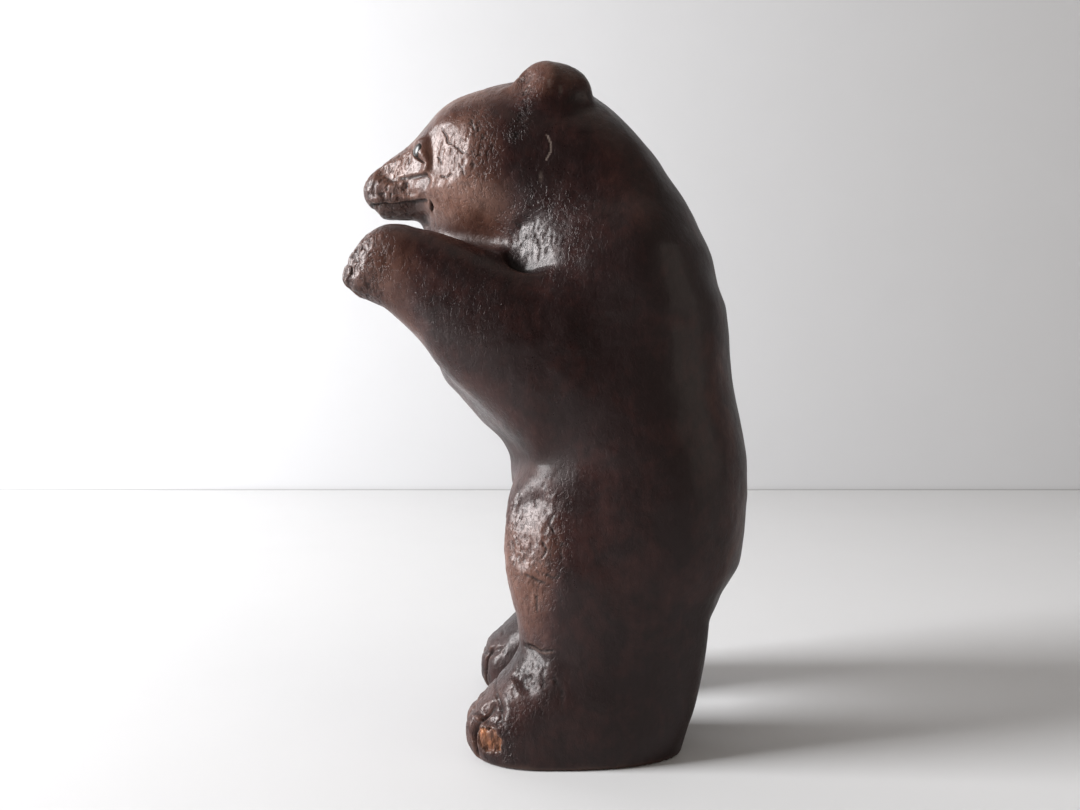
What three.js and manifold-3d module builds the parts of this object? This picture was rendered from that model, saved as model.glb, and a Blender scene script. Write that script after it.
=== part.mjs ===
// Carved wooden bear standing on its hind legs, both front paws raised to the mouth.
//
// The carving is cut from a blank glued up from three boards that run the full height,
// with the grain upright: a centre board between two thick side boards, lined up by two
// blind cross dowels. The centre board holds the muzzle, the middle of the back and the
// belly, and stops at the crotch. Each side board holds one leg and foot, one flank, one
// arm with its paw, one cheek and one ear. Two glass beads sit in drilled eye sockets.
//
// Frame: millimetres, +Z up, the bear faces -Y, its left side is +X. The origin is on the
// ground plane under the centre of the bounding box.
import * as THREE from 'three';
import * as BufferGeometryUtils from 'three/addons/utils/BufferGeometryUtils.js';
import Module from 'manifold-3d';

// ---------------------------------------------------------------- driving dimensions
const HALF_BOARD = 12;      // half the thickness of the centre board
const GLUE_GAP = 0.3;       // modelled gap at each glue line
const CELL = [4.8, 5.8, 5.8]; // size of the facets on the carved surface along X, Y and Z
const Y_ORIGIN = 1.5;       // the section tables below are written about y = 0, the box centre is here
const DOWEL_R = 4.0;        // cross dowels
const DOWEL_HOLE_R = 4.3;
const DOWEL_HALF = 34.6;
const DOWEL_HOLE_HALF = 35.0;
const DOWEL_CHAMFER = 0.8;
const DOWELS = [['upper_dowel', 30, 170], ['lower_dowel', 33, 95]];   // name, y, z
const EYE_R = 3.0;          // glass bead: radius, height of the dome, depth of the seat
const EYE_DOME = 1.3;
const EYE_SEAT = 1.8;
const EYE_SOCKET_R = 3.3;
const EYE_CLEAR = 0.3;
const EYE_AT = [-53.2, 226.4];   // y and z of the eye in the section tables

// ---------------------------------------------------------------- section tables
// Torso, horizontal sections: z, front y, back y, y of the widest line, half width, squareness
const TORSO = [
  [40, 34, 52, 44, 24, 2.2],
  [46, 27, 60.5, 45, 34, 2.2],
  [50, 20, 65.2, 44, 39, 2.2],
  [55, 12, 67.6, 43, 43.5, 2.2],
  [60, 5, 70.8, 42, 47, 2.2],
  [66, -2, 74.1, 40, 50, 2.2],
  [75, -9, 75.8, 38, 52, 2.2],
  [85, -14.5, 76.9, 36, 53.2, 2.2],
  [95, -17.5, 77.5, 34, 53.5, 2.2],
  [105, -18.2, 77.3, 32, 53.3, 2.2],
  [112, -21.3, 76.5, 30, 53, 2.2],
  [120, -29.6, 75.3, 28, 52.5, 2.15],
  [130, -38.4, 73.4, 26, 52, 2.1],
  [138, -44, 72.2, 25, 51.5, 2.1],
  [146, -46, 71.4, 25, 51, 2.1],
  [155, -42, 70.9, 25, 51, 2.1],
  [165, -36, 69.6, 26, 51.5, 2.1],
  [175, -32, 66.3, 27, 51.8, 2],
  [185, -30, 64, 28, 50.6, 1.95],
  [195, -28, 59.6, 27, 47.2, 1.95],
  [205, -26, 55.2, 25, 41.5, 2.05],
  [215, -24, 48.4, 21, 37, 2.1],
  [225, -22, 41.2, 16, 34, 2.1],
  [235, -18, 31.6, 10, 30, 2.1],
  [245, -12, 21, 4, 22, 2.1],
  [254, -6, 8, 2, 10, 2.1],
];
// Head, upright sections along the muzzle: y, underside z, top z, z of the widest line, half width, squareness
const HEAD = [
  [-82, 211, 215, 213.5, 5, 2.2],
  [-79, 210, 217.2, 214, 7.6, 2.3],
  [-76, 207.4, 220, 214, 9.6, 2.4],
  [-72, 203.9, 223.4, 214, 11.6, 2.4],
  [-68, 203.1, 226.3, 214.5, 13.4, 2.35],
  [-60, 203, 232.3, 215.5, 16.8, 2.25],
  [-56.5, 202.8, 235.6, 216.5, 18.6, 2.2],
  [-53.5, 202.2, 238.6, 218, 22.2, 2.15],
  [-50, 201, 242.2, 219, 25.8, 2.1],
  [-46, 198, 246.7, 219, 28.8, 2.1],
  [-41, 194, 250.2, 219, 31.6, 2.1],
  [-36, 191, 252.3, 218, 33.8, 2.1],
  [-30, 188, 254.3, 218, 35.8, 2.1],
  [-20, 185, 257, 218, 37.4, 2.1],
  [-10, 183.5, 258.2, 218, 38, 2.1],
  [0, 183, 257.4, 218, 38, 2.1],
  [10, 184, 254.2, 217, 37.5, 2.1],
  [19, 185, 248, 215, 36.4, 2.1],
  [28.5, 187, 238.4, 212, 34, 2.1],
  [36, 190, 229, 209, 30, 2.1],
  [45, 196, 216, 205, 23, 2.1],
];
// Arm and paw, upright sections: y, underside z, top z, z of the widest line, inner x, outer x, squareness
const ARM = [
  [-82, 173, 177, 175, 22, 32, 2.2],
  [-80, 171.6, 180.5, 176, 19, 36, 2.3],
  [-77, 169.8, 185.2, 177, 16.5, 38.6, 2.4],
  [-74, 168, 189.5, 178.5, 15, 40, 2.4],
  [-70, 166.5, 193, 180, 14, 41.2, 2.4],
  [-66, 164.8, 195.1, 181, 13.6, 42, 2.4],
  [-62.7, 162.6, 195.9, 181, 13.4, 42.5, 2.4],
  [-59, 159.4, 196, 180, 13.3, 43, 2.4],
  [-52, 152.6, 194.4, 176, 13.2, 44, 2.4],
  [-44, 142, 192.5, 170, 13, 45.5, 2.4],
  [-36, 134, 189.8, 164, 12, 47, 2.4],
  [-30, 129, 187.3, 160, 11, 48.2, 2.4],
  [-21, 121.5, 183.9, 154, 10, 50, 2.4],
  [-13, 113.8, 181, 150, 10, 51, 2.4],
  [-6, 109, 180, 147, 10, 51.5, 2.3],
  [5, 108, 181, 147, 12, 51.5, 2.2],
  [18, 112, 178, 148, 16, 50, 2.2],
];
// Leg and foot, horizontal sections: z, front y, back y, y of the widest line, inner x, outer x, squareness
const LEG = [
  [-4, -30.5, 46.6, -3, 13.4, 56, 2.3],
  [0, -31.2, 47, -3, 13.4, 56.2, 2.3],
  [4.4, -32.8, 48.2, -2, 13.3, 56.2, 2.35],
  [9.8, -32.5, 49.7, 0, 13.2, 56, 2.4],
  [15.3, -30.4, 51.7, 2, 13.2, 55.6, 2.3],
  [20, -26.2, 53, 4, 13.2, 55.2, 2.2],
  [23.6, -23.4, 54, 6, 13.2, 54.8, 2.15],
  [27, -20.6, 54.8, 9, 13.2, 54.3, 2.1],
  [32.3, -16, 55.8, 12, 13.2, 53.8, 2.08],
  [38, -13.4, 56.6, 14, 13.2, 53.6, 2.1],
  [48, -14.5, 57.6, 16, 12, 54, 2.1],
  [55, -16.2, 57.6, 17, 11, 54.6, 2.1],
  [63, -18, 57.6, 18, 10, 54.8, 2.05],
  [74, -19.1, 58.4, 18, 9, 54, 2],
  [84, -18.8, 59.5, 18, 8, 52.2, 2],
  [92, -17.6, 60, 18, 8, 50.2, 2.05],
  [100, -13, 60, 20, 8, 47.6, 2.2],
  [110, -4, 59, 20, 8, 44, 2.2],
];
// Chest between the arms, up to the throat: z, front y, half width
const CHEST = [
  [136, -43, 26],
  [150, -46.5, 26],
  [160, -47.5, 25],
  [170, -48, 24.5],
  [180, -49, 23.5],
  [190, -51, 21],
  [199, -53, 17],
  [206, -50, 13],
];
const EAR = { at: [26.0, -1.0, 246.2], radii: [8.5, 15.3, 13.6], lean: 16 };

// ---------------------------------------------------------------- smooth section tables
function table(rows) {
  // slopes that keep each column free of overshoot between its rows
  const n = rows.length, m = rows[0].length;
  const slope = rows.map(() => new Array(m).fill(0));
  for (let c = 1; c < m; c++) {
    const h = [], d = [];
    for (let i = 0; i < n - 1; i++) {
      h.push(rows[i + 1][0] - rows[i][0]);
      d.push((rows[i + 1][c] - rows[i][c]) / h[i]);
    }
    slope[0][c] = d[0];
    slope[n - 1][c] = d[n - 2];
    for (let i = 1; i < n - 1; i++) {
      if (d[i - 1] * d[i] <= 0) continue;
      const w1 = 2 * h[i] + h[i - 1], w2 = h[i] + 2 * h[i - 1];
      slope[i][c] = (w1 + w2) / (w1 / d[i - 1] + w2 / d[i]);
    }
  }
  return (t) => {
    t = Math.min(Math.max(t, rows[0][0]), rows[n - 1][0]);
    let i = 0;
    while (i < n - 2 && t > rows[i + 1][0]) i++;
    const h = rows[i + 1][0] - rows[i][0], s = (t - rows[i][0]) / h;
    const a = 2 * s ** 3 - 3 * s ** 2 + 1, b = s ** 3 - 2 * s ** 2 + s;
    const c = -2 * s ** 3 + 3 * s ** 2, d = s ** 3 - s ** 2;
    const out = [];
    for (let k = 1; k < m; k++) {
      out.push(a * rows[i][k] + b * h * slope[i][k] + c * rows[i + 1][k] + d * h * slope[i + 1][k]);
    }
    return out;
  };
}
const torsoAt = table(TORSO), headAt = table(HEAD), armAt = table(ARM), legAt = table(LEG), chestAt = table(CHEST);

// ---------------------------------------------------------------- the carved form
// Each function gives a signed distance, negative inside the wood.
const smin = (a, b, k) => { const h = Math.max(k - Math.abs(a - b), 0) / k; return Math.min(a, b) - h * h * k * 0.25; };
const smax = (a, b, k) => -smin(-a, -b, k);
function section(a, b, ha, hb, n) {
  const q = Math.hypot(a, b);
  const f = Math.pow(Math.pow(Math.abs(a / ha), n) + Math.pow(Math.abs(b / hb), n), 1 / n);
  return q - (f > 1e-6 ? q / f : Math.min(ha, hb));
}
function torso(x, y, z) {
  const [yf, yb, yc, hw, n] = torsoAt(z);
  const d = section(x, y - yc, hw, y < yc ? yc - yf : yb - yc, n);
  return smax(smax(d, 42 - z, 8), z - 250, 10);
}
function head(x, y, z) {
  const [zb, zt, zc, hw, n] = headAt(y);
  const d = section(x, z - zc, hw, z < zc ? zc - zb : zt - zc, n);
  return smax(smax(d, -77.8 - y, 4), y - 42, 14);
}
function arm(x, y, z) {
  const [zb, zt, zc, xi, xo, n] = armAt(y);
  const d = section(x - (xi + xo) / 2, z - zc, (xo - xi) / 2, z < zc ? zc - zb : zt - zc, n);
  return smax(smax(d, -80.6 - y, 5), y - 14, 16);
}
function leg(x, y, z) {
  const [yf, yb, yc, xi, xo, n] = legAt(z);
  const d = section(x - (xi + xo) / 2, y - yc, (xo - xi) / 2, y < yc ? yc - yf : yb - yc, n);
  return smax(d, z - 106, 10);
}
function chest(x, y, z) {
  const [yf, hw] = chestAt(z);
  const d = section(x, y + 18, hw, y < -18 ? -18 - yf : 20, 2.2);
  return smax(d, Math.max(138 - z, z - 203), 8);
}
function ear(x, y, z) {
  const a = EAR.lean * Math.PI / 180, c = Math.cos(a), s = Math.sin(a);
  const px = x - EAR.at[0], py = y - EAR.at[1], pz = z - EAR.at[2];
  const q = [px * c + pz * s, py, -px * s + pz * c].map((v, i) => v / EAR.radii[i]);
  const k0 = Math.hypot(...q), k1 = Math.hypot(...q.map((v, i) => v / EAR.radii[i]));
  return k1 > 1e-9 ? k0 * (k0 - 1) / k1 : -Math.min(...EAR.radii);
}
function bear(x, y, z) {
  y -= Y_ORIGIN;
  let d = smin(torso(x, y, z), head(x, y, z), 12);
  d = smin(d, smin(arm(x, y, z), arm(-x, y, z), 2), 7);
  d = smin(d, chest(x, y, z), 9);
  d = smin(d, Math.min(ear(x, y, z), ear(-x, y, z)), 4);
  // the right foot stands 1 mm further back, with a fuller instep
  const zr = z - 3.2 * Math.exp(-(((z - 19) / 11) ** 2));
  d = smin(d, smin(leg(x, y, z), leg(-x, y - 1, zr), 3), 9);
  return Math.max(d, -8.5 - z);   // runs on below the ground plane, and is sawn off there
}
function normalAt(p) {
  const e = 0.05, [x, y, z] = p;
  const g = [bear(x + e, y, z) - bear(x - e, y, z), bear(x, y + e, z) - bear(x, y - e, z), bear(x, y, z + e) - bear(x, y, z - e)];
  const l = Math.hypot(...g) || 1;
  return { n: g.map((v) => v / l), slope: l / (2 * e) };
}

// ---------------------------------------------------------------- facets over the carved form
// One vertex in each cell that the surface crosses, pulled onto the surface, and one quad
// across each cell edge that the surface crosses.
function facet(fn, lo, hi, h) {
  const N = lo.map((v, i) => Math.ceil((hi[i] - v) / h[i]) + 1);
  const at = (i, j, k) => (i * N[1] + j) * N[2] + k;
  const V = new Float64Array(N[0] * N[1] * N[2]);
  for (let i = 0; i < N[0]; i++) for (let j = 0; j < N[1]; j++) for (let k = 0; k < N[2]; k++) {
    V[at(i, j, k)] = fn(lo[0] + i * h[0], lo[1] + j * h[1], lo[2] + k * h[2]);
  }
  // Fill the outer corner of any cell face whose corners alternate, so that no edge of the
  // result is shared by four facets.
  for (let again = true; again;) {
    again = false;
    for (let i = 0; i < N[0]; i++) for (let j = 0; j < N[1]; j++) for (let k = 0; k < N[2]; k++) {
      for (const [u, w] of [[[1, 0, 0], [0, 1, 0]], [[0, 1, 0], [0, 0, 1]], [[0, 0, 1], [1, 0, 0]]]) {
        if (i + u[0] + w[0] >= N[0] || j + u[1] + w[1] >= N[1] || k + u[2] + w[2] >= N[2]) continue;
        const q = [at(i, j, k), at(i + u[0], j + u[1], k + u[2]),
          at(i + u[0] + w[0], j + u[1] + w[1], k + u[2] + w[2]), at(i + w[0], j + w[1], k + w[2])];
        const v = q.map((t) => V[t] < 0);
        if (v[0] !== v[2] || v[1] !== v[3] || v[0] === v[1]) continue;
        const [a, b] = v[0] ? [q[1], q[3]] : [q[0], q[2]];
        V[V[a] < V[b] ? a : b] = -0.3;
        again = true;
      }
    }
  }
  const corners = [], edges = [];
  for (let c = 0; c < 8; c++) corners.push([c & 1, (c >> 1) & 1, (c >> 2) & 1]);
  for (let a = 0; a < 8; a++) for (let ax = 0; ax < 3; ax++) if (!(a & (1 << ax))) edges.push([a, a | (1 << ax)]);
  const cell = new Int32Array(V.length).fill(-1), pos = [];
  for (let i = 0; i < N[0] - 1; i++) for (let j = 0; j < N[1] - 1; j++) for (let k = 0; k < N[2] - 1; k++) {
    const v = corners.map((c) => V[at(i + c[0], j + c[1], k + c[2])]);
    const inside = v.filter((t) => t < 0).length;
    if (inside === 0 || inside === 8) continue;
    const s = [0, 0, 0];
    let n = 0;
    for (const [a, b] of edges) {
      if ((v[a] < 0) === (v[b] < 0)) continue;
      const t = v[a] / (v[a] - v[b]);
      for (let q = 0; q < 3; q++) s[q] += corners[a][q] + t * (corners[b][q] - corners[a][q]);
      n++;
    }
    let p = [i, j, k].map((c, q) => lo[q] + (c + s[q] / n) * h[q]);
    const low = [i, j, k].map((c, q) => lo[q] + (c + 0.06) * h[q]);
    const high = [i, j, k].map((c, q) => lo[q] + (c + 0.94) * h[q]);
    for (let it = 0; it < 6; it++) {
      const { n: g, slope } = normalAt(p);
      const step = Math.max(-1, Math.min(1, fn(...p) / Math.max(slope, 0.5)));
      p = p.map((c, q) => Math.min(high[q], Math.max(low[q], c - g[q] * step)));
    }
    cell[at(i, j, k)] = pos.length / 3;
    pos.push(...p);
  }
  const tris = [];
  const P = (q) => [pos[3 * q], pos[3 * q + 1], pos[3 * q + 2]];
  const dist = (a, b) => Math.hypot(a[0] - b[0], a[1] - b[1], a[2] - b[2]);
  for (let i = 1; i < N[0] - 1; i++) for (let j = 1; j < N[1] - 1; j++) for (let k = 1; k < N[2] - 1; k++) {
    const here = V[at(i, j, k)] < 0;
    for (let ax = 0; ax < 3; ax++) {
      const o = [0, 0, 0];
      o[ax] = 1;
      if (here === (V[at(i + o[0], j + o[1], k + o[2])] < 0)) continue;
      const u = [0, 0, 0], w = [0, 0, 0];
      u[(ax + 1) % 3] = 1;
      w[(ax + 2) % 3] = 1;
      let q = [cell[at(i, j, k)], cell[at(i - u[0], j - u[1], k - u[2])],
        cell[at(i - u[0] - w[0], j - u[1] - w[1], k - u[2] - w[2])], cell[at(i - w[0], j - w[1], k - w[2])]];
      if (!here) q = q.reverse();
      if (dist(P(q[0]), P(q[2])) <= dist(P(q[1]), P(q[3]))) tris.push(q[0], q[1], q[2], q[0], q[2], q[3]);
      else tris.push(q[1], q[2], q[3], q[1], q[3], q[0]);
    }
  }
  const g = new THREE.BufferGeometry();
  g.setAttribute('position', new THREE.BufferAttribute(new Float32Array(pos), 3));
  g.setIndex(tris);
  return g;
}

// ---------------------------------------------------------------- joins and cuts
const wasm = await Module();
wasm.setup();
function solid(geometry) {
  const g = geometry.clone();
  g.deleteAttribute('normal');
  g.deleteAttribute('uv');
  const m = BufferGeometryUtils.mergeVertices(g, 1e-4);
  return new wasm.Manifold(new wasm.Mesh({
    numProp: 3,
    vertProperties: new Float32Array(m.attributes.position.array),
    triVerts: new Uint32Array(m.index.array),
  }));
}
function shape(body) {
  const m = body.getMesh();
  const g = new THREE.BufferGeometry();
  g.setAttribute('position', new THREE.BufferAttribute(new Float32Array(m.vertProperties), 3));
  g.setIndex([...m.triVerts]);
  g.computeVertexNormals();
  return g;
}
// a sawn board: everything between two upright planes, above the ground plane
function board(x0, x1) {
  const g = new THREE.BoxGeometry(x1 - x0, 220, 300);
  g.translate((x0 + x1) / 2, 0, 150);
  return solid(g);
}
function turned(profile, segments) {
  return new THREE.LatheGeometry(profile.map(([r, t]) => new THREE.Vector2(r, t)), segments);
}
// puts a shape turned about +Y at a point, with its axis along a direction
function along(geometry, at, dir) {
  const q = new THREE.Quaternion().setFromUnitVectors(new THREE.Vector3(0, 1, 0), new THREE.Vector3(...dir).normalize());
  return geometry.clone().applyQuaternion(q).translate(...at);
}

// ---------------------------------------------------------------- the boards
// The facets are laid out from the glue lines and the ground plane, so that no cut runs
// along a facet edge.
const first = -HALF_BOARD - Math.ceil(50 / CELL[0]) * CELL[0];
const carved = solid(facet(bear, [first, -92, -CELL[2] * 3], [-first, 92, 268], CELL));
let centre = carved.intersect(board(-HALF_BOARD + GLUE_GAP / 2, HALF_BOARD - GLUE_GAP / 2));
let left = carved.intersect(board(HALF_BOARD + GLUE_GAP / 2, 80));
let right = carved.intersect(board(-80, -HALF_BOARD - GLUE_GAP / 2));

const dowelHole = turned([[0, -DOWEL_HOLE_HALF], [DOWEL_HOLE_R, -DOWEL_HOLE_HALF], [DOWEL_HOLE_R, DOWEL_HOLE_HALF], [0, DOWEL_HOLE_HALF]], 24);
const dowelShape = turned([[0, -DOWEL_HALF], [DOWEL_R - DOWEL_CHAMFER, -DOWEL_HALF], [DOWEL_R, -DOWEL_HALF + DOWEL_CHAMFER],
  [DOWEL_R, DOWEL_HALF - DOWEL_CHAMFER], [DOWEL_R - DOWEL_CHAMFER, DOWEL_HALF], [0, DOWEL_HALF]], 24);
for (const [, y, z] of DOWELS) {
  const hole = solid(along(dowelHole, [0, y, z], [1, 0, 0]));
  centre = centre.subtract(hole);
  left = left.subtract(hole);
  right = right.subtract(hole);
}

// ---------------------------------------------------------------- the eyes
const socketShape = turned([[0, -EYE_SEAT - EYE_CLEAR], [EYE_SOCKET_R, -EYE_SEAT - EYE_CLEAR], [EYE_SOCKET_R, 8], [0, 8]], 24);
const dome = [];
for (let i = 0; i <= 6; i++) dome.push([EYE_R * Math.cos(i * Math.PI / 12), EYE_DOME * Math.sin(i * Math.PI / 12)]);
dome[6][0] = 0;
const eyeShape = turned([[0, -EYE_SEAT], [EYE_R - 0.4, -EYE_SEAT], [EYE_R, -EYE_SEAT + 0.4], ...dome], 24);
function eyePlace(side) {
  // walks outwards from the middle of the head to the skin
  const [y, z] = [EYE_AT[0] + Y_ORIGIN, EYE_AT[1]];
  let a = 5, b = 40;
  for (let i = 0; i < 40; i++) {
    const m = (a + b) / 2;
    if (bear(side * m, y, z) < 0) a = m; else b = m;
  }
  const p = [side * a, y, z];
  return { p, n: normalAt(p).n };
}
const eyes = [['left_eye', 1], ['right_eye', -1]].map(([name, side]) => ({ name, side, ...eyePlace(side) }));
for (const e of eyes) {
  const socket = solid(along(socketShape, e.p, e.n));
  if (e.side > 0) left = left.subtract(socket); else right = right.subtract(socket);
}

// ---------------------------------------------------------------- the assembly
const wood = new THREE.MeshStandardMaterial({ color: 0x3b2019, roughness: 0.38, metalness: 0 });
const beech = new THREE.MeshStandardMaterial({ color: 0xc79a68, roughness: 0.7, metalness: 0 });
const glass = new THREE.MeshStandardMaterial({ color: 0x0b0706, roughness: 0.08, metalness: 0 });

const figure = new THREE.Group();
function add(name, geometry, material) {
  const mesh = new THREE.Mesh(geometry, material);
  mesh.name = name;
  figure.add(mesh);
  return mesh;
}
add('centre_board', shape(centre), wood);
add('left_board', shape(left), wood.clone());
add('right_board', shape(right), wood.clone());
for (const [name, y, z] of DOWELS) {
  const m = add(name, dowelShape.clone(), beech.clone());
  m.quaternion.setFromUnitVectors(new THREE.Vector3(0, 1, 0), new THREE.Vector3(1, 0, 0));
  m.position.set(0, y, z);
}
for (const e of eyes) {
  const m = add(e.name, eyeShape.clone(), glass.clone());
  m.quaternion.setFromUnitVectors(new THREE.Vector3(0, 1, 0), new THREE.Vector3(...e.n));
  m.position.set(...e.p);
}

export default figure;
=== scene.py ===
# Carved wooden bear, standing on its hind legs with both front paws raised to the mouth.
# The carved form is the same set of section tables as the CAD boards, in millimetres in the
# row frame (the bear faces -Y, its left side is +X), meshed finely here and then given the
# marks of the gouge: mouth, nostrils, eyelids, ear hollows, claws, toes, nicks and the chip.
import bpy
import bmesh
import numpy as np
from mathutils import Matrix, Vector


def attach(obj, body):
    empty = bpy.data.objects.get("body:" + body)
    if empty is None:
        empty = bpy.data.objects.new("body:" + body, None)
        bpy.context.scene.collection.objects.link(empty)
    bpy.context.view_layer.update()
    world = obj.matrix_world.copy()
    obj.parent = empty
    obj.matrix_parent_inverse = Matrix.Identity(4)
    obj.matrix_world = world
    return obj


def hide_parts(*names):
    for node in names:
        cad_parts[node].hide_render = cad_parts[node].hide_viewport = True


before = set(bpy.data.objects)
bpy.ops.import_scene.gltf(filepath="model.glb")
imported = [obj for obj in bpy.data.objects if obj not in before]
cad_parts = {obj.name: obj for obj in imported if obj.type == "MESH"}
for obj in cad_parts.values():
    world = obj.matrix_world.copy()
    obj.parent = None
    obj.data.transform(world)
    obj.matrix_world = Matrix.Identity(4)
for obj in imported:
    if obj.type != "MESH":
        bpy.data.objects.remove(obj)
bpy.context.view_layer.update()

# ------------------------------------------------------------------ the carved form, mm
Y_ORIGIN = 1.5
HALF_BOARD = 12.0
EYE_AT = (-53.2, 226.4)
# z, front y, back y, widest y, half width, squareness
TORSO = [
    (40, 34, 52, 44, 24, 2.2),
    (46, 27, 60.5, 45, 34, 2.2),
    (50, 20, 65.2, 44, 39, 2.2),
    (55, 12, 67.6, 43, 43.5, 2.2),
    (60, 5, 70.8, 42, 47, 2.2),
    (66, -2, 74.1, 40, 50, 2.2),
    (75, -9, 75.8, 38, 52, 2.2),
    (85, -14.5, 76.9, 36, 53.2, 2.2),
    (95, -17.5, 77.5, 34, 53.5, 2.2),
    (105, -18.2, 77.3, 32, 53.3, 2.2),
    (112, -21.3, 76.5, 30, 53, 2.2),
    (120, -29.6, 75.3, 28, 52.5, 2.15),
    (130, -38.4, 73.4, 26, 52, 2.1),
    (138, -44, 72.2, 25, 51.5, 2.1),
    (146, -46, 71.4, 25, 51, 2.1),
    (155, -42, 70.9, 25, 51, 2.1),
    (165, -36, 69.6, 26, 51.5, 2.1),
    (175, -32, 66.3, 27, 51.8, 2),
    (185, -30, 64, 28, 50.6, 1.95),
    (195, -28, 59.6, 27, 47.2, 1.95),
    (205, -26, 55.2, 25, 41.5, 2.05),
    (215, -24, 48.4, 21, 37, 2.1),
    (225, -22, 41.2, 16, 34, 2.1),
    (235, -18, 31.6, 10, 30, 2.1),
    (245, -12, 21, 4, 22, 2.1),
    (254, -6, 8, 2, 10, 2.1),
]
# y, underside z, top z, widest z, half width, squareness
HEAD = [
    (-82, 211, 215, 213.5, 5, 2.2),
    (-79, 210, 217.2, 214, 7.6, 2.3),
    (-76, 207.4, 220, 214, 9.6, 2.4),
    (-72, 203.9, 223.4, 214, 11.6, 2.4),
    (-68, 203.1, 226.3, 214.5, 13.4, 2.35),
    (-60, 203, 232.3, 215.5, 16.8, 2.25),
    (-56.5, 202.8, 235.6, 216.5, 18.6, 2.2),
    (-53.5, 202.2, 238.6, 218, 22.2, 2.15),
    (-50, 201, 242.2, 219, 25.8, 2.1),
    (-46, 198, 246.7, 219, 28.8, 2.1),
    (-41, 194, 250.2, 219, 31.6, 2.1),
    (-36, 191, 252.3, 218, 33.8, 2.1),
    (-30, 188, 254.3, 218, 35.8, 2.1),
    (-20, 185, 257, 218, 37.4, 2.1),
    (-10, 183.5, 258.2, 218, 38, 2.1),
    (0, 183, 257.4, 218, 38, 2.1),
    (10, 184, 254.2, 217, 37.5, 2.1),
    (19, 185, 248, 215, 36.4, 2.1),
    (28.5, 187, 238.4, 212, 34, 2.1),
    (36, 190, 229, 209, 30, 2.1),
    (45, 196, 216, 205, 23, 2.1),
]
# y, underside z, top z, widest z, inner x, outer x, squareness
ARM = [
    (-82, 173, 177, 175, 22, 32, 2.2),
    (-80, 171.6, 180.5, 176, 19, 36, 2.3),
    (-77, 169.8, 185.2, 177, 16.5, 38.6, 2.4),
    (-74, 168, 189.5, 178.5, 15, 40, 2.4),
    (-70, 166.5, 193, 180, 14, 41.2, 2.4),
    (-66, 164.8, 195.1, 181, 13.6, 42, 2.4),
    (-62.7, 162.6, 195.9, 181, 13.4, 42.5, 2.4),
    (-59, 159.4, 196, 180, 13.3, 43, 2.4),
    (-52, 152.6, 194.4, 176, 13.2, 44, 2.4),
    (-44, 142, 192.5, 170, 13, 45.5, 2.4),
    (-36, 134, 189.8, 164, 12, 47, 2.4),
    (-30, 129, 187.3, 160, 11, 48.2, 2.4),
    (-21, 121.5, 183.9, 154, 10, 50, 2.4),
    (-13, 113.8, 181, 150, 10, 51, 2.4),
    (-6, 109, 180, 147, 10, 51.5, 2.3),
    (5, 108, 181, 147, 12, 51.5, 2.2),
    (18, 112, 178, 148, 16, 50, 2.2),
]
# z, front y, back y, widest y, inner x, outer x, squareness
LEG = [
    (-4, -30.5, 46.6, -3, 13.4, 56, 2.3),
    (0, -31.2, 47, -3, 13.4, 56.2, 2.3),
    (4.4, -32.8, 48.2, -2, 13.3, 56.2, 2.35),
    (9.8, -32.5, 49.7, 0, 13.2, 56, 2.4),
    (15.3, -30.4, 51.7, 2, 13.2, 55.6, 2.3),
    (20, -26.2, 53, 4, 13.2, 55.2, 2.2),
    (23.6, -23.4, 54, 6, 13.2, 54.8, 2.15),
    (27, -20.6, 54.8, 9, 13.2, 54.3, 2.1),
    (32.3, -16, 55.8, 12, 13.2, 53.8, 2.08),
    (38, -13.4, 56.6, 14, 13.2, 53.6, 2.1),
    (48, -14.5, 57.6, 16, 12, 54, 2.1),
    (55, -16.2, 57.6, 17, 11, 54.6, 2.1),
    (63, -18, 57.6, 18, 10, 54.8, 2.05),
    (74, -19.1, 58.4, 18, 9, 54, 2),
    (84, -18.8, 59.5, 18, 8, 52.2, 2),
    (92, -17.6, 60, 18, 8, 50.2, 2.05),
    (100, -13, 60, 20, 8, 47.6, 2.2),
    (110, -4, 59, 20, 8, 44, 2.2),
]
# z, front y, half width
BIB = [
    (136, -43, 26),
    (150, -46.5, 26),
    (160, -47.5, 25),
    (170, -48, 24.5),
    (180, -49, 23.5),
    (190, -51, 21),
    (199, -53, 17),
    (206, -50, 13),
]


def table(rows):
    """Columns of a section table at any position, on slopes free of overshoot."""
    a = np.array(rows, float)
    x, v = a[:, 0], a[:, 1:]
    h = np.diff(x)[:, None]
    d = np.diff(v, axis=0) / h
    w1, w2 = 2 * h[1:] + h[:-1], h[1:] + 2 * h[:-1]
    with np.errstate(divide="ignore", invalid="ignore"):
        mid = (w1 + w2) / (w1 / d[:-1] + w2 / d[1:])
    m = np.zeros_like(v)
    m[1:-1] = np.where(d[:-1] * d[1:] > 0, mid, 0)
    m[0], m[-1] = d[0], d[-1]
    t = np.arange(x[0], x[-1] + 0.05, 0.1)
    i = np.clip(np.searchsorted(x, t) - 1, 0, len(x) - 2)
    hh = h[i]
    s = ((t - x[i]) / hh[:, 0])[:, None]
    dense = ((2 * s**3 - 3 * s**2 + 1) * v[i] + (s**3 - 2 * s**2 + s) * hh * m[i]
             + (3 * s**2 - 2 * s**3) * v[i + 1] + (s**3 - s**2) * hh * m[i + 1])
    return lambda q: [np.interp(q, t, dense[:, k]) for k in range(dense.shape[1])]


torso_at, head_at, arm_at, leg_at, bib_at = map(table, (TORSO, HEAD, ARM, LEG, BIB))


def smin(a, b, k):
    h = np.maximum(k - np.abs(a - b), 0) / k
    return np.minimum(a, b) - h * h * k * 0.25


def smax(a, b, k):
    return -smin(-a, -b, k)


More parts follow.
